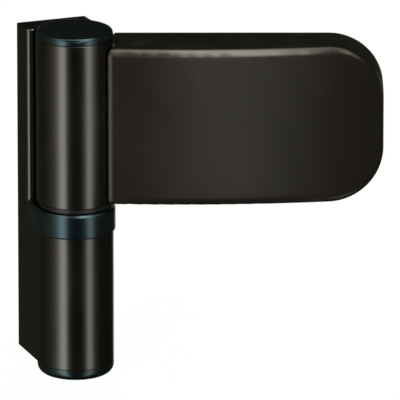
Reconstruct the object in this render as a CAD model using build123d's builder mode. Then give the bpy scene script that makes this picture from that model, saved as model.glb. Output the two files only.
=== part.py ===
from build123d import *
from math import acos, atan2, cos, hypot, radians, sin, sqrt
import os

# Surface-mounted door hinge: a frame leaf with the lower barrel, a sash leaf with the upper barrel,
# and a flag-shaped cover over the sash leaf's adjustable fixing plate.
# Millimetres, +Z up. The origin lies on the frame leaf's mounting face, behind the hinge axis and
# at half the leaf's height. +Y points out of that face, into the door frame.
os.makedirs("parts", exist_ok=True)

# Rest pose: how far the sash leaf is drawn open
open_angle = 20.0

# Fits
running_gap = 0.05
seat_gap = 0.02
thread_gap = 0.05
edge_break = 0.4

# Hinge axis, barrels and pin
axis_to_wall = 20.0
barrel_d = 24.0
lower_barrel_height = 42.8
upper_barrel_height = 53.2
pin_d = 9.0
bush_wall = 2.0
cap_rim = 3.5

# Frame leaf
frame_taper = 1.6
slab_inset = 1.1
scoop_gap = 2.5
nose_share = 0.85
frame_screw_d = 6.2
frame_screw_head_d = 12.4
frame_screw_spacing = 27.0
frame_screw_edge = 12.0
back_thread_d = 5.0
back_thread_depth = 9.0
back_thread_spacing = 22.0
back_thread_edge = 11.0

# Bearing collar on the frame leaf's ledge
collar_height = 7.8
collar_proud = 0.6
collar_tail_gap = 0.3
collar_tail_radius = 1.2
collar_chamfer = 0.6
collar_spigot = 2.8

# Bushes
sash_play = 0.4
bush_flange = 1.3
bush_flange_inset = 0.8
lower_bush_length = 14.0
upper_bush_length = 16.5
frame_bush_gap = 3.0

# Pin, its stop screw and the height adjuster
pin_chamfer = 0.6
height_travel = 4.0
grub_d = 5.0
grub_recess = 0.7
grub_below_ledge = 12.5
grub_hex = 2.5
grub_hex_depth = 3.0
flat_depth = 0.9
flat_play = 0.2
ball_d = 6.0
ball_seat = 0.8
height_screw_length = 10.5
height_screw_recess = 1.7
height_hex = 6.0
height_hex_depth = 5.0
insert_wall = 2.5
insert_length = 13.0
insert_recess = 3.5

# Load path at the top of the pin
disc_thickness = 2.0
load_plug_length = 4.0
load_hex = 6.0
load_hex_depth = 2.4

# End caps
top_flange = 2.2
top_edge_radius = 1.2
bottom_flange = 3.8
bottom_edge_radius = 3.0
cap_spigot = 3.0
cap_wall = 1.5

# Sash leaf: neck and arm
neck_front = 1.0
neck_length = 2.5
neck_inset = 1.0
arm_reach = 64.0
arm_thickness = 3.4
arm_end_radius = 4.0
neck_fillet = 3.0

# Flag cover
wing_drop = 2.3
wing_lift = 0.2
wing_reach = 96.0
wing_front = 8.3
crown_radius = 300.0
crown_at = 34.0
corner_radius = 17.0
edge_radius = 2.4
cover_wall = 1.6
cover_gap = 0.3
cover_lip_radius = 0.5
cover_heel_gap = 1.0
door_face = 11.6
door_gap = 0.3

# Fixing plate on the door leaf and its sideways adjustment
side_travel = 3.0
plate_thickness = 3.0
plate_gap = 0.2
plate_rim_gap = 1.4
plate_neck_gap = 0.5
plate_left_radius = 3.0
door_screw_d = 5.5
door_screw_head_d = 9.0
door_screw_edge = 5.5
door_screw_inner = 7.0
door_screw_outer = 18.0
clamp_d = 6.0
clamp_slot_width = 6.4
clamp_head_d = 10.0
clamp_head = 3.4
clamp_hex = 4.0
clamp_hex_depth = 2.0
clamp_end_gap = 0.4
washer_d = 11.0
washer_thickness = 1.0

# Sideways adjusting spindle
spindle_d = 5.0
spindle_gap = 0.2
spindle_collar_d = 8.0
spindle_collar = 1.4
spindle_overrun = 5.0
spindle_hex = 2.5
spindle_hex_depth = 3.0
ring_thickness = 1.0
ring_seat_d = 4.0
lug_inset = 8.0
lug_width = 5.0
lug_rise = 3.3
lug_half_height = 5.0
nut_gap = 1.0
nut_width = 6.0

# Spring clips that hold the cover
clip_width = 4.8
clip_sheet = 0.8
clip_reach = 6.4
clip_hook = 1.0
clip_play = 0.3
rib_height = 1.0
rib_depth = 1.2
rib_length = 9.0
clip_screw_edge = 2.8
clip_screw_d = 3.0
clip_screw_head_d = 5.2
clip_screw_head = 1.8
clip_screw_slot = 0.8

# Diameters worked out from the values above
bore_d = pin_d + 2 * bush_wall
plug_bore_d = barrel_d - 2 * cap_rim
height_screw_d = plug_bore_d - 2 * insert_wall
bush_flange_d = barrel_d - 2 * bush_flange_inset

# Heights worked out from the values above
frame_height = lower_barrel_height + collar_height + sash_play + bush_flange + upper_barrel_height
frame_top = frame_height / 2
frame_bottom = -frame_height / 2
ledge = frame_bottom + lower_barrel_height
collar_top = ledge + collar_height
flange_bottom = collar_top + sash_play
sash_bottom = flange_bottom + bush_flange
sash_top = sash_bottom + upper_barrel_height
wing_top = sash_top - wing_drop
wing_bottom = sash_bottom + wing_lift
wing_height = wing_top - wing_bottom
wing_middle = (wing_top + wing_bottom) / 2
insert_bottom = frame_bottom + insert_recess
insert_top = insert_bottom + insert_length
cap_ring_d = plug_bore_d - 2 * seat_gap
load_plug_top = sash_top - cap_spigot - edge_break
load_plug_bottom = load_plug_top - load_plug_length
disc_bottom = load_plug_bottom - disc_thickness - seat_gap
pin_top = disc_bottom - running_gap
height_screw_top = insert_bottom + height_screw_recess + height_screw_length
ball_z = height_screw_top - ball_seat + ball_d / 2
pin_bottom = ball_z - ball_seat + ball_d / 2
frame_bush_top = ledge - collar_spigot - seat_gap
frame_bush_bottom = height_screw_top + height_travel + frame_bush_gap
grub_z = ledge - grub_below_ledge

# Radii and depths across the hinge axis
barrel_r = barrel_d / 2
pin_r = pin_d / 2
scoop_r = barrel_r + scoop_gap
frame_right = barrel_r - frame_taper
slab_front = barrel_r - slab_inset
scoop_mouth = sqrt(scoop_r**2 - slab_front**2)
plate_front = door_face - plate_thickness
arm_back = plate_front - plate_gap
arm_front = arm_back - arm_thickness
washer_front = arm_front - washer_thickness
spindle_y = arm_front - spindle_gap - spindle_collar_d / 2
cover_back = door_face - door_gap
cover_heel = slab_front - cover_heel_gap
crown_centre = crown_radius - wing_front

# Places along and across the sash leaf
neck_reach = barrel_r + neck_length
plate_left = neck_reach + side_travel + plate_neck_gap
plate_end = wing_reach - cover_wall - plate_rim_gap - side_travel
plate_end_radius = corner_radius - cover_wall - plate_rim_gap
plate_half_height = wing_height / 2 - cover_wall - plate_rim_gap
neck_half_height = plate_half_height - neck_inset
door_screw_rise = plate_half_height - door_screw_edge
door_screw_xs = (plate_left + door_screw_inner, plate_end - door_screw_outer)
arm_half_height = door_screw_rise - door_screw_head_d / 2
lug_left = arm_reach - lug_inset
clamp_start = neck_reach + neck_fillet
clamp_stop = lug_left - running_gap - spindle_collar
clamp_room = (clamp_stop - clamp_start - 2 * washer_d) / 3
clamp_inset = clamp_room + washer_d / 2
clamp_xs = (clamp_start + clamp_inset, clamp_stop - clamp_inset)
clip_x = (clamp_start + clamp_stop) / 2
clip_screw_rise = arm_half_height - clip_screw_edge
clip_foot = clip_screw_rise - clip_screw_edge
nut_left = arm_reach + side_travel + nut_gap
spindle_end = nut_left + nut_width + side_travel + spindle_overrun

# Working planes: the hinge axis seen from above, square to the door frame and square to the door leaf
pin_plane = Plane(origin=(0, -axis_to_wall, 0), x_dir=(1, 0, 0), z_dir=(0, 0, 1))
leaf_x = (cos(radians(open_angle)), -sin(radians(open_angle)), 0)
leaf_plane = Plane(origin=pin_plane.origin, x_dir=leaf_x, z_dir=(0, 0, 1))
along_leaf = Axis(leaf_plane.origin, leaf_plane.x_dir)
across_leaf = Axis(leaf_plane.origin, leaf_plane.y_dir)


def leaf_point(x, y, z):
    """A place given along, behind and above the hinge axis on the sash leaf."""
    return leaf_plane.from_local_coords((x, y, z))


def facing_front(y, x=0.0):
    """A plane square to the sash leaf's thickness, with its normal towards the room."""
    return Plane(origin=leaf_point(x, y, wing_middle), x_dir=leaf_plane.x_dir, z_dir=-leaf_plane.y_dir)


def facing_right(x, y=0.0):
    """A plane square to the sash leaf's length, with its normal towards the free end."""
    return Plane(origin=leaf_point(x, y, wing_middle), x_dir=leaf_plane.y_dir, z_dir=leaf_plane.x_dir)


def tangent_point(x, y, radius, turn):
    """Where the straight from (x, y) touches the circle about the hinge axis."""
    angle = atan2(y, x) + turn * acos(radius / hypot(x, y))
    return (radius * cos(angle), radius * sin(angle))


def frame_section(grow=0.0):
    """Barrel circle with straight flanks back to the wall, drawn larger all round by grow."""
    radius = barrel_r + grow
    left = (-barrel_r - grow, axis_to_wall)
    right = (frame_right + grow, axis_to_wall)
    left_touch = tangent_point(*left, radius, 1)
    right_touch = tangent_point(*right, radius, -1)
    with BuildSketch() as section:
        with BuildLine():
            Line(left, right)
            Line(right, right_touch)
            ThreePointArc(right_touch, (0, -radius), left_touch)
            Line(left_touch, left)
        make_face()
    return section.sketch


def disc(plane, diameter, length, mode=Mode.ADD):
    """A cylinder that starts on a plane and runs along its normal, or against it if length is negative."""
    start = Align.MIN if length > 0 else Align.MAX
    with Locations(plane):
        Cylinder(diameter / 2, abs(length), align=(Align.CENTER, Align.CENTER, start), mode=mode)


def hex_socket(plane, across_flats, depth):
    """A hexagon socket sunk from a plane against its normal."""
    with BuildSketch(plane) as socket:
        RegularPolygon(radius=across_flats / 2, side_count=6, major_radius=False)
    extrude(socket.sketch, amount=-depth, mode=Mode.SUBTRACT)


# Frame leaf: one extruded section, scooped out above the ledge for the sash barrel
with BuildPart() as frame_leaf:
    with BuildSketch(pin_plane.offset(frame_bottom)):
        add(frame_section())
    extrude(amount=frame_height)
    with BuildSketch(pin_plane.offset(ledge)):
        Circle(scoop_r)
        with Locations((0, slab_front - barrel_d)):
            Rectangle(4 * barrel_d, 2 * barrel_d)
    extrude(amount=frame_height, mode=Mode.SUBTRACT)
    for side in (-1, 1):
        nose = [
            edge
            for edge in frame_leaf.edges().filter_by(Axis.Z).filter_by_position(Axis.Z, 0, frame_top)
            if side * edge.center().X > scoop_mouth + edge_break and edge.center().Y < -slab_front / 2
        ]
        fillet(nose, radius=nose_share * (abs(nose[0].center().X) - scoop_mouth))
    levels = frame_leaf.edges().group_by(Axis.Z)
    chamfer(levels[0] + levels[-1], length=edge_break / 2)
    # Bore for the bush, opened out below for the threaded insert and the cap
    disc(pin_plane.offset(ledge), bore_d + 2 * seat_gap, -lower_barrel_height, Mode.SUBTRACT)
    disc(pin_plane.offset(frame_bottom), plug_bore_d, insert_top - frame_bottom, Mode.SUBTRACT)
    # Tapped hole for the stop screw, from the closing side
    grub_plane = Plane(origin=(barrel_d, -axis_to_wall, grub_z), x_dir=(0, 1, 0), z_dir=(1, 0, 0))
    disc(grub_plane, grub_d + 2 * thread_gap, -barrel_d, Mode.SUBTRACT)
    # Countersunk holes behind the sash barrel and tapped holes behind the frame barrel
    sink_y = -axis_to_wall + sqrt(scoop_r**2 - (frame_screw_head_d / 2) ** 2)
    for step in range(2):
        height = frame_top - frame_screw_edge - step * frame_screw_spacing
        with Locations(Plane(origin=(0, sink_y, height), x_dir=(1, 0, 0), z_dir=(0, -1, 0))):
            CounterSinkHole(frame_screw_d / 2, frame_screw_head_d / 2, counter_sink_angle=90)
        height = frame_bottom + back_thread_edge + step * back_thread_spacing
        with Locations(Plane(origin=(0, 0, height), x_dir=(-1, 0, 0), z_dir=(0, 1, 0))):
            Hole(back_thread_d / 2, depth=back_thread_depth)
frame_leaf.part.label = "frame_leaf"
export_step(frame_leaf.part, "parts/frame_leaf.step")

# Bearing collar: a ring whose tail covers the ledge out to the scooped wall
with BuildPart() as bearing_collar:
    with BuildSketch(pin_plane.offset(ledge)) as collar_outline:
        add(frame_section(collar_proud))
        with Locations((0, slab_front - collar_tail_gap - 2 * barrel_d)):
            Rectangle(4 * barrel_d, 4 * barrel_d, mode=Mode.INTERSECT)
        fillet(collar_outline.vertices().group_by(Axis.Y)[-1], radius=collar_tail_radius)
    extrude(amount=collar_height)
    ends = bearing_collar.edges().group_by(Axis.Z)
    chamfer(ends[0] + ends[-1], length=collar_chamfer)
    disc(pin_plane.offset(ledge), bore_d, -collar_spigot)
    disc(pin_plane.offset(collar_top), pin_d + 2 * running_gap, -frame_height, Mode.SUBTRACT)
bearing_collar.part.label = "bearing_collar"
export_step(bearing_collar.part, "parts/bearing_collar.step")

# Frame bush: plain sleeve with a side hole for the stop screw
with BuildPart() as frame_bush:
    disc(pin_plane.offset(frame_bush_bottom), bore_d, frame_bush_top - frame_bush_bottom)
    disc(pin_plane.offset(frame_bush_bottom), pin_d + 2 * running_gap, frame_height, Mode.SUBTRACT)
    disc(grub_plane, grub_d + 2 * flat_play, -barrel_d, Mode.SUBTRACT)
frame_bush.part.label = "frame_bush"
export_step(frame_bush.part, "parts/frame_bush.step")

# Hinge pin: ground rod with a flat for the stop screw and a seat for the ball
with BuildPart() as hinge_pin:
    disc(pin_plane.offset(pin_bottom), pin_d, pin_top - pin_bottom)
    chamfer(hinge_pin.edges().filter_by(GeomType.CIRCLE), length=pin_chamfer)
    flat_low = grub_z - grub_d / 2 - flat_play - height_travel
    flat_high = grub_z + grub_d / 2 + flat_play
    with BuildSketch(pin_plane.offset(flat_low)):
        with Locations((pin_r - flat_depth, 0)):
            Rectangle(pin_d, pin_d, align=(Align.MIN, Align.CENTER))
    extrude(amount=flat_high - flat_low, mode=Mode.SUBTRACT)
    with Locations(pin_plane.offset(ball_z)):
        Sphere(ball_d / 2 + running_gap, mode=Mode.SUBTRACT)
hinge_pin.part.label = "hinge_pin"
export_step(hinge_pin.part, "parts/hinge_pin.step")

# Stop screw: set screw whose tip rests over the pin's flat
with BuildPart() as pin_stop_screw:
    tip_x = pin_r - flat_depth + flat_play
    grub_length = barrel_r - grub_recess - tip_x
    tip_plane = Plane(origin=(tip_x, -axis_to_wall, grub_z), x_dir=(0, 1, 0), z_dir=(1, 0, 0))
    disc(tip_plane, grub_d, grub_length)
    chamfer(pin_stop_screw.edges(), length=edge_break)
    hex_socket(tip_plane.offset(grub_length), grub_hex, grub_hex_depth)
pin_stop_screw.part.label = "pin_stop_screw"
export_step(pin_stop_screw.part, "parts/pin_stop_screw.step")

# Thrust ball between the pin and the height screw
with BuildPart() as thrust_ball:
    with Locations(pin_plane.offset(ball_z)):
        Sphere(ball_d / 2)
thrust_ball.part.label = "thrust_ball"
export_step(thrust_ball.part, "parts/thrust_ball.step")

# Height screw: turned from below to lift the pin
with BuildPart() as height_screw:
    disc(pin_plane.offset(height_screw_top), height_screw_d - 2 * thread_gap, -height_screw_length)
    chamfer(height_screw.edges().filter_by(GeomType.CIRCLE), length=pin_chamfer)
    hex_socket(pin_plane.offset(height_screw_top - height_screw_length).rotated((180, 0, 0)),
               height_hex, height_hex_depth)
    with Locations(pin_plane.offset(ball_z)):
        Sphere(ball_d / 2 + running_gap, mode=Mode.SUBTRACT)
height_screw.part.label = "height_screw"
export_step(height_screw.part, "parts/height_screw.step")

# Threaded insert that carries the height screw
with BuildPart() as threaded_insert:
    disc(pin_plane.offset(insert_bottom), plug_bore_d - 2 * seat_gap, insert_length - seat_gap)
    disc(pin_plane.offset(insert_bottom), height_screw_d, insert_length, Mode.SUBTRACT)
threaded_insert.part.label = "threaded_insert"
export_step(threaded_insert.part, "parts/threaded_insert.step")

# Bottom cap: rounded disc with a hollow spigot
with BuildPart() as bottom_cap:
    disc(pin_plane.offset(frame_bottom - bottom_flange), barrel_d, bottom_flange)
    fillet(bottom_cap.edges().group_by(Axis.Z)[0], radius=bottom_edge_radius)
    disc(pin_plane.offset(frame_bottom), cap_ring_d, cap_spigot)
    disc(pin_plane.offset(frame_bottom), cap_ring_d - 2 * cap_wall, cap_spigot, Mode.SUBTRACT)
bottom_cap.part.label = "bottom_cap"
export_step(bottom_cap.part, "parts/bottom_cap.step")

# Sash leaf: upper barrel, neck and arm, with a lug for the spindle
with BuildPart() as sash_leaf:
    disc(leaf_plane.offset(sash_bottom), barrel_d, sash_top - sash_bottom)
    chamfer(sash_leaf.edges().filter_by(GeomType.CIRCLE), length=edge_break)
    with BuildSketch(leaf_plane.offset(wing_middle - neck_half_height)) as neck_outline:
        with Locations((0, neck_front)):
            Rectangle(neck_reach, arm_back - neck_front, align=Align.MIN)
    extrude(amount=2 * neck_half_height)
    with BuildSketch(leaf_plane.offset(wing_middle - arm_half_height)):
        with Locations((0, arm_front)):
            Rectangle(arm_reach, arm_thickness, align=Align.MIN)
    extrude(amount=2 * arm_half_height)
    root = sash_leaf.edges().filter_by(Axis.Z).sort_by_distance(
        leaf_point(neck_reach, arm_front, wing_middle))[0]
    fillet(root, radius=neck_fillet)
    fillet(sash_leaf.edges().filter_by(across_leaf).group_by(along_leaf)[-1], radius=arm_end_radius)
    with BuildSketch(facing_front(arm_front)):
        with Locations((lug_left, -lug_half_height)):
            Rectangle(lug_width, 2 * lug_half_height, align=Align.MIN)
    extrude(amount=arm_front - spindle_y + lug_rise)
    # Bore, and the wider mouth for the top cap
    disc(leaf_plane.offset(sash_bottom), bore_d + 2 * seat_gap, sash_top - sash_bottom, Mode.SUBTRACT)
    disc(leaf_plane.offset(sash_top), plug_bore_d, -cap_spigot - edge_break, Mode.SUBTRACT)
    # Slots for the clamping screws, holes for the clip screws, bearing for the spindle
    with BuildSketch(facing_front(arm_back)):
        with Locations(*[(x, 0) for x in clamp_xs]):
            SlotOverall(clamp_slot_width + 2 * side_travel, clamp_slot_width)
        with Locations((clip_x, clip_screw_rise), (clip_x, -clip_screw_rise)):
            Circle(clip_screw_d / 2)
    extrude(amount=arm_thickness, mode=Mode.SUBTRACT)
    disc(facing_right(lug_left, spindle_y), spindle_d + 2 * running_gap, lug_width, Mode.SUBTRACT)
sash_leaf.part.label = "sash_leaf"
export_step(sash_leaf.part, "parts/sash_leaf.step")

# Lower sash bush: its flange runs on the bearing collar
with BuildPart() as lower_sash_bush:
    disc(leaf_plane.offset(flange_bottom), bush_flange_d, bush_flange)
    disc(leaf_plane.offset(sash_bottom), bore_d, lower_bush_length)
    disc(leaf_plane.offset(flange_bottom), pin_d + 2 * running_gap, frame_height, Mode.SUBTRACT)
lower_sash_bush.part.label = "lower_sash_bush"
export_step(lower_sash_bush.part, "parts/lower_sash_bush.step")

# Upper sash bush
with BuildPart() as upper_sash_bush:
    disc(leaf_plane.offset(disc_bottom - seat_gap), bore_d, -upper_bush_length)
    disc(leaf_plane.offset(disc_bottom), pin_d + 2 * running_gap, -frame_height, Mode.SUBTRACT)
upper_sash_bush.part.label = "upper_sash_bush"
export_step(upper_sash_bush.part, "parts/upper_sash_bush.step")

# Thrust disc that rests on the pin
with BuildPart() as thrust_disc:
    disc(leaf_plane.offset(disc_bottom), bore_d, disc_thickness)
    chamfer(thrust_disc.edges(), length=edge_break)
thrust_disc.part.label = "thrust_disc"
export_step(thrust_disc.part, "parts/thrust_disc.step")

# Load plug screwed into the barrel above the disc
with BuildPart() as load_plug:
    disc(leaf_plane.offset(load_plug_bottom), bore_d, load_plug_length)
    chamfer(load_plug.edges(), length=edge_break)
    hex_socket(leaf_plane.offset(load_plug_top), load_hex, load_hex_depth)
load_plug.part.label = "load_plug"
export_step(load_plug.part, "parts/load_plug.step")

# Top cap
with BuildPart() as top_cap:
    disc(leaf_plane.offset(sash_top), barrel_d, top_flange)
    fillet(top_cap.edges().group_by(Axis.Z)[-1], radius=top_edge_radius)
    disc(leaf_plane.offset(sash_top), cap_ring_d, -cap_spigot)
    disc(leaf_plane.offset(sash_top), cap_ring_d - 2 * cap_wall, -cap_spigot, Mode.SUBTRACT)
top_cap.part.label = "top_cap"
export_step(top_cap.part, "parts/top_cap.step")


def crown_y(x, inset):
    """Depth of the crowned front, or of its inside face, at a distance along the leaf."""
    return crown_centre - sqrt((crown_radius - inset) ** 2 - (x - crown_at) ** 2)


def flag(inset):
    """The crowned flag as a full block, drawn smaller all round by inset."""
    right = wing_reach - inset
    half_height = wing_height / 2 - inset
    with BuildPart() as block:
        with BuildSketch(facing_front(cover_back)) as outline:
            with Locations((0, 0)):
                Rectangle(right, 2 * half_height, align=(Align.MIN, Align.CENTER))
            fillet(outline.vertices().group_by(Axis.X)[-1], radius=corner_radius - inset)
        extrude(amount=cover_back + wing_front)
        with BuildSketch(leaf_plane.offset(wing_bottom)):
            with BuildLine():
                ThreePointArc((0, crown_y(0, inset)), (right / 2, crown_y(right / 2, inset)),
                              (right, crown_y(right, inset)))
                Polyline((right, crown_y(right, inset)), (right, cover_back), (0, cover_back),
                         (0, crown_y(0, inset)))
            make_face()
        extrude(amount=wing_height, mode=Mode.INTERSECT)
        crown = block.faces().filter_by(GeomType.CYLINDER).sort_by(SortBy.AREA)[-1]
        fillet(crown.edges().sort_by(along_leaf)[1:], radius=edge_radius - inset)
    return block.part


# Flag cover: a thin crowned shell, open at the back and cut round the barrel
flag_outside = flag(0.0)
flag_inside = flag(cover_wall)
with BuildPart() as cover_cap:
    add(flag_outside)
    add(flag_inside, mode=Mode.SUBTRACT)
    # Ribs that the clips snap behind
    for side in (-1, 1):
        rib_y = arm_front - clip_reach + clip_sheet + clip_hook + clip_play
        with BuildSketch(facing_front(rib_y + rib_depth)):
            with Locations((clip_x, side * (wing_height / 2 - cover_wall))):
                Rectangle(rib_length, 2 * rib_height)
        extrude(amount=rib_depth)
    # Clearance round the barrel and past the frame leaf
    with BuildSketch(leaf_plane.offset(wing_bottom)):
        Circle(barrel_r + cover_gap)
        with BuildLine():
            Polyline((-barrel_d, cover_heel), (barrel_r + cover_gap, cover_heel),
                     (barrel_r + cover_gap, cover_back), (-barrel_d, cover_back), close=True)
        make_face()
        with Locations((0, 0)):
            Rectangle(barrel_r * cos(radians(45)), 2 * barrel_d, align=(Align.MIN, Align.CENTER))
    extrude(amount=wing_height, mode=Mode.SUBTRACT)
    # Softened edge of the front wall beside the barrel
    fillet(cover_cap.edges().filter_by(Axis.Z).sort_by(across_leaf)[0], radius=cover_lip_radius)
cover_cap.part.label = "cover_cap"
export_step(cover_cap.part, "parts/cover_cap.step")

# Fixing plate screwed to the door leaf, with the spindle's nut lug
with BuildPart() as fixing_plate:
    with BuildSketch(facing_front(door_face)) as plate_outline:
        with Locations((plate_left, 0)):
            Rectangle(plate_end - plate_left, 2 * plate_half_height, align=(Align.MIN, Align.CENTER))
        fillet(plate_outline.vertices().group_by(Axis.X)[0], radius=plate_left_radius)
        fillet(plate_outline.vertices().group_by(Axis.X)[-1], radius=plate_end_radius)
    extrude(amount=plate_thickness)
    with BuildSketch(facing_front(plate_front)):
        with Locations((nut_left, 0)):
            Rectangle(nut_width, 2 * lug_half_height, align=(Align.MIN, Align.CENTER))
    extrude(amount=plate_front - spindle_y + lug_rise)
    disc(facing_right(nut_left, spindle_y), spindle_d + 2 * thread_gap, nut_width, Mode.SUBTRACT)
    with BuildSketch(facing_front(door_face)):
        with Locations(*[(x, 0) for x in clamp_xs]):
            Circle(clamp_d / 2)
    extrude(amount=plate_thickness, mode=Mode.SUBTRACT)
    for x in door_screw_xs:
        for rise in (-door_screw_rise, door_screw_rise):
            place = leaf_point(x, plate_front, wing_middle + rise)
            with Locations(Plane(origin=place, x_dir=leaf_plane.x_dir, z_dir=-leaf_plane.y_dir)):
                CounterSinkHole(door_screw_d / 2, door_screw_head_d / 2, counter_sink_angle=90)
fixing_plate.part.label = "fixing_plate"
export_step(fixing_plate.part, "parts/fixing_plate.step")

# Clamping screws and their washers
with BuildPart() as clamp_screws:
    for x in clamp_xs:
        disc(facing_front(washer_front, x), clamp_head_d, clamp_head)
        disc(facing_front(washer_front, x), clamp_d - 2 * thread_gap,
             washer_front - door_face + clamp_end_gap)
        hex_socket(facing_front(washer_front - clamp_head, x), clamp_hex, clamp_hex_depth)
clamp_screws.part.label = "clamp_screws"
export_step(clamp_screws.part, "parts/clamp_screws.step")

with BuildPart() as clamp_washers:
    for x in clamp_xs:
        disc(facing_front(arm_front, x), washer_d, washer_thickness)
        disc(facing_front(arm_front, x), clamp_d + 2 * seat_gap, washer_thickness, Mode.SUBTRACT)
clamp_washers.part.label = "clamp_washers"
export_step(clamp_washers.part, "parts/clamp_washers.step")

# Sideways spindle: turns in the arm's lug and draws the plate's nut lug along
with BuildPart() as side_spindle:
    disc(facing_right(lug_left - running_gap, spindle_y), spindle_collar_d, -spindle_collar)
    disc(facing_right(lug_left - running_gap, spindle_y), spindle_d, spindle_end - lug_left + running_gap)
    ring_left = lug_left + lug_width + running_gap
    disc(facing_right(ring_left, spindle_y), spindle_d, ring_thickness + seat_gap, Mode.SUBTRACT)
    disc(facing_right(ring_left, spindle_y), ring_seat_d, ring_thickness + seat_gap)
    hex_socket(facing_right(spindle_end, spindle_y), spindle_hex, spindle_hex_depth)
side_spindle.part.label = "side_spindle"
export_step(side_spindle.part, "parts/side_spindle.step")

# Open retaining ring in the spindle's groove
with BuildPart() as spindle_ring:
    disc(facing_right(ring_left, spindle_y), spindle_collar_d, ring_thickness)
    disc(facing_right(ring_left, spindle_y), ring_seat_d + 2 * seat_gap, ring_thickness, Mode.SUBTRACT)
    with BuildSketch(facing_right(ring_left, spindle_y)):
        Rectangle(spindle_collar_d, ring_seat_d * 0.8, align=(Align.MAX, Align.CENTER))
    extrude(amount=ring_thickness, mode=Mode.SUBTRACT)
spindle_ring.part.label = "spindle_ring"
export_step(spindle_ring.part, "parts/spindle_ring.step")

# Spring clips: strips screwed to the arm, folded up along the cover's wall and hooked over its ribs
with BuildPart() as cover_clips:
    wall = wing_height / 2 - cover_wall
    leg_out = wall - rib_height - clip_play
    front = arm_front - clip_reach
    for side in (-1, 1):
        with BuildSketch(facing_right(clip_x - clip_width / 2)):
            with BuildLine():
                Polyline(
                    (arm_front, side * clip_foot),
                    (arm_front, side * leg_out),
                    (front + clip_sheet + clip_hook, side * leg_out),
                    (front + clip_sheet, side * (wall - clip_play)),
                    (front, side * (leg_out - clip_sheet)),
                    (arm_front - clip_sheet, side * (leg_out - clip_sheet)),
                    (arm_front - clip_sheet, side * clip_foot),
                    close=True,
                )
            make_face()
        extrude(amount=clip_width)
        disc(facing_front(arm_front, clip_x).shift_origin(
            leaf_point(clip_x, arm_front, wing_middle + side * clip_screw_rise)),
            clip_screw_d, clip_sheet, Mode.SUBTRACT)
cover_clips.part.label = "cover_clips"
export_step(cover_clips.part, "parts/cover_clips.step")

# Screws that hold the clips
with BuildPart() as clip_screws:
    for side in (-1, 1):
        place = leaf_point(clip_x, arm_front - clip_sheet, wing_middle + side * clip_screw_rise)
        face = Plane(origin=place, x_dir=leaf_plane.x_dir, z_dir=-leaf_plane.y_dir)
        disc(face, clip_screw_head_d, clip_screw_head)
        disc(face, clip_screw_d - 2 * seat_gap, -clip_sheet - arm_thickness)
        with BuildSketch(face.offset(clip_screw_head)):
            Rectangle(clip_screw_head_d, clip_screw_slot)
        extrude(amount=-clip_screw_slot, mode=Mode.SUBTRACT)
clip_screws.part.label = "clip_screws"
export_step(clip_screws.part, "parts/clip_screws.step")
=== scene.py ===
from math import cos, pi, radians, sin

import bmesh
import bpy
from mathutils import Matrix, Vector


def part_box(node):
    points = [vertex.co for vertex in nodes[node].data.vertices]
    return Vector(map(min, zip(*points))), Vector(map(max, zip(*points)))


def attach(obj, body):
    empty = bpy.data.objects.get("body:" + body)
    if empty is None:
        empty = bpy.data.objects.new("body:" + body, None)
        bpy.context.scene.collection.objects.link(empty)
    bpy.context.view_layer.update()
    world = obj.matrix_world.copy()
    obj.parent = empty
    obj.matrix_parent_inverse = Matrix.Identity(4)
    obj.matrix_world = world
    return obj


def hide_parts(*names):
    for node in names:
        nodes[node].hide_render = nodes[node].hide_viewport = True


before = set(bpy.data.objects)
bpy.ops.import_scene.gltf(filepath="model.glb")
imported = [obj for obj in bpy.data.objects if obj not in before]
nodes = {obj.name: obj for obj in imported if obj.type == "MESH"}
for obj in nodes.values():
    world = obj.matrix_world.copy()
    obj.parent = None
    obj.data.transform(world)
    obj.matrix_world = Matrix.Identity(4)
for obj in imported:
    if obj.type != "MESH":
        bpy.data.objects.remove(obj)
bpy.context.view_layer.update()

# The hinge stands 20 degrees open: these are the sash leaf's own directions
OPEN = radians(20)
ALONG_FLAG = Vector((cos(OPEN), -sin(OPEN), 0))
OUT_OF_FLAG = Vector((-sin(OPEN), -cos(OPEN), 0))
UP = Vector((0, 0, 1))
FLOOR = min(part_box(name)[0].z for name in nodes)


def beside_flag(along, out, up):
    """A place in millimetres: along the flag from the hinge axis, out of its face, up from mid-height."""
    return Vector((0, -0.020, 0)) + (along * ALONG_FLAG + out * OUT_OF_FLAG + up * UP) / 1000


def placed(name, data):
    """A new object at the origin, linked to the scene."""
    made = bpy.data.objects.new(name, data)
    bpy.context.scene.collection.objects.link(made)
    return made


def one_face(name, corners):
    """A mesh of one four-sided face."""
    mesh = bpy.data.meshes.new(name)
    mesh.from_pydata(corners, [], [(0, 1, 2, 3)])
    return mesh


# Shader maths as plain expressions

class Wire:
    """A shader socket that can be added, multiplied and so on."""

    def __init__(self, recipe, socket):
        self.recipe = recipe
        self.socket = socket

    def __add__(self, other):
        return self.recipe.math("ADD", self, other)

    def __sub__(self, other):
        return self.recipe.math("SUBTRACT", self, other)

    def __rsub__(self, other):
        return self.recipe.math("SUBTRACT", other, self)

    def __mul__(self, other):
        return self.recipe.math("MULTIPLY", self, other)

    def __truediv__(self, other):
        return self.recipe.math("DIVIDE", self, other)

    __radd__ = __add__
    __rmul__ = __mul__


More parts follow.
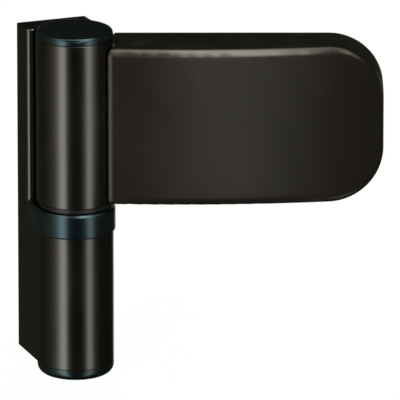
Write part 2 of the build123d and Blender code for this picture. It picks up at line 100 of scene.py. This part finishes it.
class Recipe:
    """The nodes of one material, of the world or of a geometry tree."""

    def __init__(self, tree):
        self.tree = tree
        tree.nodes.clear()

    def node(self, kind, settings=None, inputs=None, output=0):
        """Adds a node: its type, its settings, the values or links of its sockets, and the output used."""
        made = self.tree.nodes.new(kind)
        for name, value in (settings or {}).items():
            if name == "stops":
                ramp = made.color_ramp
                while len(ramp.elements) < len(value):
                    ramp.elements.new(1.0)
                for element, (place, colour) in zip(ramp.elements, value):
                    element.position = place
                    element.color = colour
            else:
                setattr(made, name, value)
        for key, value in (inputs or {}).items():
            if isinstance(value, Wire):
                self.tree.links.new(value.socket, made.inputs[key])
            else:
                made.inputs[key].default_value = value
        return Wire(self, made.outputs[output] if made.outputs else None)

    def math(self, operation, *values):
        return self.node("ShaderNodeMath", {"operation": operation}, dict(enumerate(values)))

    def smooth(self, value, start, stop):
        """0 before start, 1 after stop, and a soft step between them."""
        sockets = {"Value": value, "From Min": start, "From Max": stop}
        return self.node("ShaderNodeMapRange", {"interpolation_type": "SMOOTHSTEP"}, sockets)

    def spread(self, value, low, high):
        """Stretches a noise's middle values out to low and high."""
        sockets = {"Value": value, "From Min": 0.3, "From Max": 0.7, "To Min": low, "To Max": high}
        return self.node("ShaderNodeMapRange", None, sockets)

    def place(self, turn=0.0, stretch=(1, 1, 1)):
        """Object coordinates, turned about the hinge's upright direction, then stretched."""
        here = self.node("ShaderNodeTexCoord", None, None, "Object")
        turned = self.node("ShaderNodeMapping", None, {"Vector": here, "Rotation": (0, 0, turn)})
        return self.node("ShaderNodeVectorMath", {"operation": "MULTIPLY"}, {0: turned, 1: stretch})

    def noise(self, where, scale, detail=2.0, roughness=0.5):
        sockets = {"Vector": where, "Scale": scale, "Detail": detail, "Roughness": roughness}
        return self.node("ShaderNodeTexNoise", None, sockets)

    def tint(self, share, dark, light):
        """A colour between two others."""
        mix = self.node("ShaderNodeMix", {"data_type": "RGBA"}, None, 2)
        made = mix.socket.node
        self.tree.links.new(share.socket, made.inputs[0])
        made.inputs[6].default_value = (*dark, 1)
        made.inputs[7].default_value = (*light, 1)
        return mix

    def bump(self, height, depth, strength, over=None):
        """Relief from a height, laid over a surface direction where one is given."""
        sockets = {"Height": height, "Distance": depth, "Strength": strength}
        if over is not None:
            sockets["Normal"] = over
        return self.node("ShaderNodeBump", None, sockets)

    def softened(self, radius):
        """The surface's direction evened out over a radius, so a rounded edge shines in one clean line."""
        return self.node("ShaderNodeBevel", {"samples": 8}, {"Radius": radius})

    def ray_from(self, centre):
        """Object coordinates measured from a point."""
        here = self.node("ShaderNodeTexCoord", None, None, "Object")
        return self.node("ShaderNodeVectorMath", {"operation": "SUBTRACT"}, {0: here, 1: centre})

    def towards(self, ray, direction):
        """How far a ray reaches in a direction."""
        return self.node("ShaderNodeVectorMath", {"operation": "DOT_PRODUCT"}, {0: ray, 1: direction}, 1)

    def glow(self, colour, level):
        return self.node("ShaderNodeEmission", None, {"Color": colour, "Strength": level})

    def finish(self, shader):
        """Joins a shader to the material's output."""
        self.node("ShaderNodeOutputMaterial", None, {"Surface": shader})


def material(name):
    made = bpy.data.materials.new(name)
    made.use_nodes = True
    return made, Recipe(made.node_tree)


def surface(recipe, **sockets):
    """The Principled shader with its sockets, joined to the material's output."""
    names = {key.replace("_", " "): value for key, value in sockets.items()}
    recipe.finish(recipe.node("ShaderNodeBsdfPrincipled", None, names))


# Finishes

def bronze_extrusion():
    """Dark bronze anodising over extruded aluminium, with fine lines along the hinge axis."""
    made, shade = material("bronze_extrusion")
    lines = shade.noise(shade.place(0, (1, 1, 0.012)), 2600, 3, 0.6)
    cloud = shade.noise(shade.place(), 55, 3)
    grit = shade.noise(shade.place(), 6500, 2)
    colour = shade.tint(shade.spread(cloud * 0.7 + lines * 0.3, 0, 1),
                        (0.0443, 0.0417, 0.0368), (0.0483, 0.0457, 0.0408))
    rough = 0.235 + 0.015 * shade.spread(lines, -1, 1) + 0.02 * shade.spread(cloud, -1, 1)
    relief = shade.bump(lines * 0.5 + grit * 0.5, 0.00001, 0.15)
    surface(shade, Base_Color=colour, Metallic=0.95, Roughness=rough, Normal=relief)
    return made


def bronze_cover():
    """The same colour on the pressed cover: a duller coat with an even, fine grain."""
    made, shade = material("bronze_cover")
    grit = shade.noise(shade.place(), 5200, 3, 0.6)
    cloud = shade.noise(shade.place(), 48, 3)
    brushed = shade.noise(shade.place(OPEN, (0.02, 1, 1)), 2400, 2)
    colour = shade.tint(shade.spread(cloud * 0.7 + brushed * 0.3, 0, 1),
                        (0.041, 0.0345, 0.0250), (0.047, 0.0400, 0.0295))
    rough = 0.25 + 0.025 * shade.spread(grit, -1, 1) + 0.015 * shade.spread(cloud, -1, 1)
    relief = shade.bump(grit * 0.7 + brushed * 0.3, 0.00002, 0.15, shade.softened(0.0022))
    surface(shade, Base_Color=colour, Metallic=0.76, Roughness=rough, Normal=relief)
    return made


def blue_black_plastic():
    """Moulded caps and collar: satin blue-black with a spark-eroded grain."""
    made, shade = material("blue_black_plastic")
    grain = shade.noise(shade.place(), 4200, 3, 0.65)
    cloud = shade.noise(shade.place(), 90, 2)
    colour = shade.tint(shade.spread(cloud, 0, 1), (0.0030, 0.0052, 0.0058), (0.0038, 0.0064, 0.0070))
    rough = 0.23 + 0.04 * shade.spread(grain, -1, 1)
    relief = shade.bump(grain, 0.00004, 0.3)
    surface(shade, Base_Color=colour, Roughness=rough, Normal=relief,
            Specular_IOR_Level=0.42, Specular_Tint=(0.62, 0.95, 1.0, 1))
    return made


def bush_plastic():
    """Plain moulded bearing plastic, slightly waxy."""
    made, shade = material("bush_plastic")
    grain = shade.noise(shade.place(), 2600, 3)
    colour = shade.tint(shade.spread(grain, 0, 1), (0.0034, 0.0034, 0.0036), (0.0050, 0.0050, 0.0053))
    rough = 0.42 + 0.06 * shade.spread(grain, -1, 1)
    surface(shade, Base_Color=colour, Roughness=rough, Normal=shade.bump(grain, 0.00003, 0.2),
            Specular_IOR_Level=0.28)
    return made


def ground_steel(name, turn, stretch):
    """Steel turned or ground round its own axis, so its lines run round it."""
    made, shade = material(name)
    rings = shade.noise(shade.place(turn, stretch), 5200, 3, 0.7)
    cloud = shade.noise(shade.place(), 110, 3)
    colour = shade.tint(shade.spread(rings * 0.6 + cloud * 0.4, 0, 1),
                        (0.42, 0.42, 0.43), (0.60, 0.60, 0.60))
    rough = 0.26 + 0.08 * shade.spread(rings, -1, 1) + 0.04 * shade.spread(cloud, -1, 1)
    relief = shade.bump(rings, 0.00002, 0.3)
    surface(shade, Base_Color=colour, Metallic=0.78, Roughness=rough, Normal=relief)
    return made


def zinc_plate():
    """Bright zinc on pressed steel: bluish, faintly clouded, with a rolled grain."""
    made, shade = material("zinc_plate")
    cloud = shade.noise(shade.place(), 130, 4, 0.6)
    rolled = shade.noise(shade.place(OPEN, (0.03, 1, 1)), 3000, 2)
    colour = shade.tint(shade.spread(cloud, 0, 1), (0.54, 0.56, 0.59), (0.63, 0.65, 0.67))
    rough = 0.34 + 0.04 * shade.spread(cloud, -1, 1) + 0.02 * shade.spread(rolled, -1, 1)
    relief = shade.bump(rolled * 0.5 + cloud * 0.5, 0.00002, 0.12)
    surface(shade, Base_Color=colour, Metallic=0.7, Roughness=rough, Normal=relief)
    return made


def spring_strip():
    """Rolled spring steel with a straw-brown temper."""
    made, shade = material("spring_strip")
    rolled = shade.noise(shade.place(OPEN, (1, 1, 0.03)), 3200, 3)
    temper = shade.noise(shade.place(), 160, 2)
    colour = shade.tint(shade.spread(temper, 0, 1), (0.30, 0.28, 0.24), (0.44, 0.43, 0.41))
    rough = 0.30 + 0.06 * shade.spread(rolled, -1, 1)
    relief = shade.bump(rolled, 0.00002, 0.25)
    surface(shade, Base_Color=colour, Metallic=0.75, Roughness=rough, Normal=relief)
    return made


upright_steel = ground_steel("upright_steel", 0, (0.01, 0.01, 1))
spindle_steel = ground_steel("spindle_steel", OPEN, (1, 0.01, 0.01))
stop_screw_steel = ground_steel("stop_screw_steel", 0, (1, 0.01, 0.01))
extrusion = bronze_extrusion()
cover = bronze_cover()
moulded = blue_black_plastic()
bush = bush_plastic()
zinc = zinc_plate()
spring = spring_strip()

FINISH = {
    "frame_leaf": extrusion,
    "sash_leaf": extrusion,
    "cover_cap": cover,
    "bearing_collar": moulded,
    "top_cap": moulded,
    "bottom_cap": moulded,
    "frame_bush": bush,
    "lower_sash_bush": bush,
    "upper_sash_bush": bush,
    "hinge_pin": upright_steel,
    "thrust_ball": upright_steel,
    "height_screw": upright_steel,
    "threaded_insert": upright_steel,
    "thrust_disc": upright_steel,
    "load_plug": upright_steel,
    "pin_stop_screw": stop_screw_steel,
    "side_spindle": spindle_steel,
    "spindle_ring": spring,
    "cover_clips": spring,
    "fixing_plate": zinc,
    "clamp_screws": zinc,
    "clamp_washers": zinc,
    "clip_screws": zinc,
}
for name, finish in FINISH.items():
    mesh = nodes[name].data
    mesh.materials.clear()
    mesh.materials.append(finish)


# Screw threads: each plain screw gets a root and a ridge wound round it, inside the solid's own outline

THREAD_SIZES = ("Radius", "Depth", "Pitch", "Length")
# Shares of the pitch: the ridge's depth, and half of its foot
THREAD_DEPTH = 0.6
HALF_FOOT = 0.43
STEPS_PER_TURN = 28
# A solid's mesh is loose triangles: corners this close are merged
SAME_CORNER = 0.000001
# How far past its ends, and outside its radius, a shank's corners may lie
END_PLAY = 0.00002
SIDE_PLAY = 0.00003
SHARP_EDGE = radians(30)


def thread_ridge():
    """Winds a sharp right-hand ridge upwards round a line. The ridge's outer edge lies at Radius."""
    tree = bpy.data.node_groups.new("thread_ridge", "GeometryNodeTree")
    for name in THREAD_SIZES:
        tree.interface.new_socket(name, in_out="INPUT", socket_type="NodeSocketFloat")
    tree.interface.new_socket("Finish", in_out="INPUT", socket_type="NodeSocketMaterial")
    tree.interface.new_socket("Ridge", in_out="OUTPUT", socket_type="NodeSocketGeometry")
    wind = Recipe(tree)
    sockets = wind.node("NodeGroupInput").socket.node.outputs
    radius, depth, pitch, length, finish = (Wire(wind, sockets[k]) for k in range(5))
    root = radius - depth
    helix = wind.node("GeometryNodeCurveSpiral", None, {
        "Resolution": STEPS_PER_TURN, "Rotations": length / pitch, "Height": length,
        "Start Radius": root, "End Radius": root, "Reverse": True})
    level = wind.node("GeometryNodeSetCurveNormal", {"mode": "Z_UP"}, {"Curve": helix})
    profile = wind.node("GeometryNodeCurvePrimitiveQuadrilateral", {"mode": "KITE"}, {
        "Width": 2 * depth, "Bottom Height": HALF_FOOT * pitch, "Top Height": HALF_FOOT * pitch})
    swept = wind.node("GeometryNodeCurveToMesh", None, {
        "Curve": level, "Profile Curve": profile, "Fill Caps": True})
    real = wind.node("GeometryNodeRealizeInstances", None, {"Geometry": swept})
    coated = wind.node("GeometryNodeSetMaterial", None, {"Geometry": real, "Material": finish})
    wind.node("NodeGroupOutput", None, {0: coated})
    return tree


def wound_ridge(tree, finish, *sizes):
    """The ridge as a plain mesh that rises from the origin."""
    host = placed("ridge_host", bpy.data.meshes.new("ridge_host"))
    wound = host.modifiers.new("thread", "NODES")
    wound.node_group = tree
    keys = [item.identifier for item in tree.interface.items_tree if item.in_out == "INPUT"]
    for key, value in zip(keys, (*sizes, finish)):
        wound[key] = value
    mesh = bpy.data.meshes.new_from_object(host.evaluated_get(bpy.context.evaluated_depsgraph_get()))
    host.modifiers.remove(wound)
    bpy.data.objects.remove(host)
    return mesh


def threaded(node, body, finish, threads, pitch):
    """A copy of a plain screw, with a thread of one pitch wound at each of the places given."""
    depth = THREAD_DEPTH * pitch
    form = bmesh.new()
    form.from_mesh(nodes[node].data)
    bmesh.ops.remove_doubles(form, verts=form.verts, dist=SAME_CORNER)
    for start, direction, length, radius in threads:
        root = radius - depth
        for corner in form.verts:
            along = (corner.co - start).dot(direction)
            middle = start + along * direction
            out = corner.co - middle
            if -END_PLAY < along < length + END_PLAY and root < out.length < radius + SIDE_PLAY:
                corner.co = middle + root * out.normalized()
        ridge = wound_ridge(ridge_tree, finish, radius, depth, pitch, length - pitch)
        turned = UP.rotation_difference(direction).to_matrix().to_4x4()
        ridge.transform(Matrix.Translation(start + direction * pitch / 2) @ turned)
        form.from_mesh(ridge)
    mesh = bpy.data.meshes.new("threaded_" + node)
    form.to_mesh(mesh)
    form.free()
    mesh.polygons.foreach_set("use_smooth", [True] * len(mesh.polygons))
    mesh.set_sharp_from_angle(angle=SHARP_EDGE)
    mesh.materials.clear()
    mesh.materials.append(finish)
    piece = placed("threaded_" + node, mesh)
    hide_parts(node)
    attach(piece, body)


ridge_tree = thread_ridge()

# Each thread: where it starts, its direction, its length and its outer radius
height_thread = (beside_flag(0, 0, -47.55), UP, 0.0105, 0.00595)
plug_thread = (beside_flag(0, 0, 45.35), UP, 0.004, 0.0065)
stop_thread = (Vector((0.0038, -0.020, -0.02245)), Vector((1, 0, 0)), 0.0075, 0.0025)
clamp_threads = [
    (beside_flag(along, -11.2, 25.1), OUT_OF_FLAG, 0.0072, 0.00295) for along in (28.0167, 44.0333)]
spindle_thread = (beside_flag(62.07, -0.8, 25.1), ALONG_FLAG, 0.01993, 0.0025)
clip_threads = [
    (beside_flag(36.025, -8.4, up), OUT_OF_FLAG, 0.0042, 0.00148) for up in (15.55, 34.65)]

threaded("height_screw", "height_adjuster", upright_steel, [height_thread], pitch=0.0015)
threaded("load_plug", "sash", upright_steel, [plug_thread], pitch=0.001)
threaded("pin_stop_screw", "frame", stop_screw_steel, [stop_thread], pitch=0.0008)
threaded("clamp_screws", "plate", zinc, clamp_threads, pitch=0.001)
threaded("side_spindle", "side_adjuster", spindle_steel, [spindle_thread], pitch=0.0008)
threaded("clip_screws", "sash", zinc, clip_threads, pitch=0.0005)


# Studio: pale floor, white surroundings, and a dark room with strip lights that only reflections see

CENTRE = Vector((0.04, -0.03, 0.0))
TO_CAMERA = OUT_OF_FLAG
TO_RIGHT = ALONG_FLAG
WHITE = (1, 1, 1, 1)

# The world's level for the matt part of the surfaces
ROOM_LIGHT = 0.16
# The floor as the camera sees it: its white, and the share of that white over the shadowed paint
FLOOR_WHITE = 1.06
FLOOR_SHARE = 0.92
# The side of each square lamp
SOFT_BOX_SIDE = 0.8

# The dark room that reflections see: its radius, its walls' level and the strips' highest possible level
ROOM_RADIUS = 1.2
DARK_WALL = 0.012
BRIGHTEST = 6.0
# The level all round the hinge: degrees from the camera's side towards the right, and the level there
ROUND_THE_HINGE = [
    (-180, 0.0), (-155, 0.02), (-134, 0.045), (-115, 0.06), (-100, 0.12), (-84, 0.22), (-72, 0.40),
    (-61, 0.8), (-53, 1.8), (-48, 3.4), (-43, 5.0), (-33, 5.5), (-30, 5.1), (-27, 0.9), (-20, 0.1),
    (-12, 0.0), (20, 0.0), (28, 0.3), (34, 2.3), (38, 3.7), (47, 3.7), (51, 1.5), (57, 0.4), (66, 0.13),
    (80, 0.04), (180, 0.0),
]
# In degrees above the hinge: where the strips fade in and out, and where they spread apart, by what share
STRIPS_START = (-72, -40)
STRIPS_END = (74, 86)
STRIPS_SPREAD = (20, 70)
SPREAD_SHARE = 0.42


def white_world():
    """White to the camera and in gloss, and a low plain level for the matt part of the surfaces."""
    world = bpy.data.worlds.new("white_surroundings")
    world.use_nodes = True
    bpy.context.scene.world = world
    shade = Recipe(world.node_tree)
    seen = shade.node("ShaderNodeLightPath", None, None, "Is Camera Ray")
    glossy = shade.node("ShaderNodeLightPath", None, None, "Is Glossy Ray")
    through = shade.node("ShaderNodeLightPath", None, None, "Is Transmission Ray")
    shown = shade.math("MINIMUM", seen + glossy + through, 1.0)
    level = ROOM_LIGHT + (1 - ROOM_LIGHT) * shown
    background = shade.node("ShaderNodeBackground", None, {"Color": WHITE, "Strength": level})
    shade.node("ShaderNodeOutputWorld", None, {"Surface": background})


def pale_floor():
    """A wide pale floor that stays white to the camera and keeps a faint shadow."""
    reach = 6.0
    mesh = one_face("pale_floor", [
        (-reach, -reach, FLOOR), (reach, -reach, FLOOR), (reach, reach, FLOOR), (-reach, reach, FLOOR)])
    floor = placed("pale_floor", mesh)
    made, shade = material("pale_floor")
    grey = shade.tint(shade.noise(shade.place(), 3, 2), (0.86, 0.86, 0.86), (0.9, 0.9, 0.9))
    paint = shade.node("ShaderNodeBsdfDiffuse", None, {"Color": grey})
    seen = shade.node("ShaderNodeLightPath", None, None, "Is Camera Ray")
    white = shade.glow(WHITE, FLOOR_WHITE)
    shade.finish(shade.node("ShaderNodeMixShader", None, {0: seen * FLOOR_SHARE, 1: paint, 2: white}))
    mesh.materials.append(made)
    floor.visible_glossy = False


def reflected_card(name, mesh):
    """A card that only reflections see. Returns the recipe of its material."""
    card = placed(name, mesh)
    made, shade = material(name)
    made.cycles.emission_sampling = "NONE"
    mesh.materials.append(made)
    card.visible_camera = False
    card.visible_diffuse = False
    card.visible_transmission = False
    card.visible_volume_scatter = False
    card.visible_shadow = False
    return shade


def surround():
    """A dark room round the hinge, with two tall strip lights in front."""
    ball = bmesh.new()
    bmesh.ops.create_uvsphere(ball, u_segments=48, v_segments=24, radius=ROOM_RADIUS)
    bmesh.ops.translate(ball, verts=ball.verts, vec=CENTRE)
    bmesh.ops.reverse_faces(ball, faces=ball.faces)
    mesh = bpy.data.meshes.new("studio_surround")
    ball.to_mesh(mesh)
    ball.free()
    shade = reflected_card("studio_surround", mesh)
    ray = shade.node("ShaderNodeVectorMath", {"operation": "NORMALIZE"}, {0: shade.ray_from(CENTRE)})
    rise = shade.math("ARCSINE", shade.towards(ray, UP)) * (180 / pi)
    spread = 1 - SPREAD_SHARE * shade.smooth(rise, *STRIPS_SPREAD)
    turn = shade.math("ARCTAN2", shade.towards(ray, TO_RIGHT), shade.towards(ray, TO_CAMERA)) * spread
    stops = [(degrees / 360 + 0.5, (level / BRIGHTEST,) * 3 + (1,)) for degrees, level in ROUND_THE_HINGE]
    strips = shade.node("ShaderNodeValToRGB", {"stops": stops}, {"Fac": turn / (2 * pi) + 0.5})
    tall = shade.smooth(rise, *STRIPS_START) * (1 - shade.smooth(rise, *STRIPS_END))
    level = DARK_WALL + BRIGHTEST * strips * tall
    tone = shade.tint(shade.smooth(level, 0.0, 1.0), (1.0, 1.05, 0.72), (1, 1, 1))
    shade.finish(shade.glow(tone, level))


def flat_card(name, centre, across, along):
    """A flat reflected card, given by its middle and by half its width and length as vectors."""
    corners = [centre + x * across + y * along for x, y in ((-1, -1), (1, -1), (1, 1), (-1, 1))]
    return reflected_card(name, one_face(name, corners))


def plain_card(name, centre, across, along, level):
    """A card of one level. It hides a brighter light, or gives the hinge's back something to reflect."""
    shade = flat_card(name, centre, across, along)
    shade.finish(shade.glow((1, 1, 0.9, 1), level))


def glow_card(name, centre, across, along, level, core):
    """A soft patch of light that hides nothing. It fades across from its middle, along from its core."""
    shade = flat_card(name, centre, across, along)
    ray = shade.ray_from(centre)
    wide = along.cross(across.cross(along))
    long = across.cross(along.cross(across))

    def fading(direction, start):
        """1 in the card's middle and 0 at its edge, along one of its directions."""
        return 1 - shade.smooth(shade.math("ABSOLUTE", shade.towards(ray, direction)), start, 1)

    strength = level * fading(wide / wide.dot(across), 0) * fading(long / long.dot(along), core)
    light = shade.glow((0.87, 0.93, 1, 1), strength)
    clear = shade.node("ShaderNodeBsdfTransparent", None, {"Color": WHITE})
    shade.finish(shade.node("ShaderNodeAddShader", None, {0: light, 1: clear}))


def soft_box(name, place, power):
    """A square light turned to the hinge, for the matt part of the surfaces. The strips give the gloss."""
    lamp = bpy.data.lights.new(name, "AREA")
    lamp.shape = "SQUARE"
    lamp.size = SOFT_BOX_SIDE
    lamp.energy = power
    made = placed(name, lamp)
    made.location = place
    made.rotation_euler = (CENTRE - place).to_track_quat("-Z", "Y").to_euler()
    made.visible_glossy = False


white_world()
pale_floor()
surround()

# Highlights on the flag's face and along its top edge
glow_card("face_glow", beside_flag(52, 37, 27), TO_RIGHT * 0.048, UP * 0.044, level=0.72, core=0.7)
glow_card("edge_glow", beside_flag(58, 170, 157), TO_RIGHT * 0.078,
          TO_CAMERA * 0.250 + TO_RIGHT * 0.021 - UP * 0.0765, level=9.6, core=0.45)
# The flag's free end and the top cap, shaded from brighter lights
plain_card("flag_shade", beside_flag(119, 44, 5),
           TO_RIGHT * 0.034 - TO_CAMERA * 0.015, UP * 0.060, level=0.10)
plain_card("barrel_shade", beside_flag(-3, 42, 64), TO_RIGHT * 0.011, TO_CAMERA * 0.027, level=0.5)
# Something pale for the hinge's back and its flag side to reflect
plain_card("rear_card", beside_flag(30, -250, -50), TO_RIGHT * 0.095, UP * 0.095, level=0.7)
plain_card("side_card", Vector((0.46, -0.04, 0.015)), Vector((0, 0.13, 0)), UP * 0.085, level=0.5)

soft_box("front_left_box", CENTRE + TO_CAMERA * 1.3 - TO_RIGHT * 0.7 + UP * 0.12, power=11)
soft_box("front_right_box", CENTRE + TO_CAMERA * 1.3 + TO_RIGHT * 0.8 + UP * 0.12, power=8)
soft_box("rear_box", CENTRE - TO_CAMERA * 1.2 + UP * 0.15, power=10)


# Camera: a little above the hinge and square to the flag, as in the photograph
camera = placed("camera", bpy.data.cameras.new("camera"))
camera.data.lens = 907.0
camera.data.sensor_width = 36.0
camera.data.clip_start = 0.01
camera.location = (-0.993628, -2.850883, 0.929592)
camera.rotation_euler = (radians(72.773), 0, radians(-20.084))
bpy.context.scene.camera = camera
bpy.context.scene.view_settings.view_transform = "Standard"
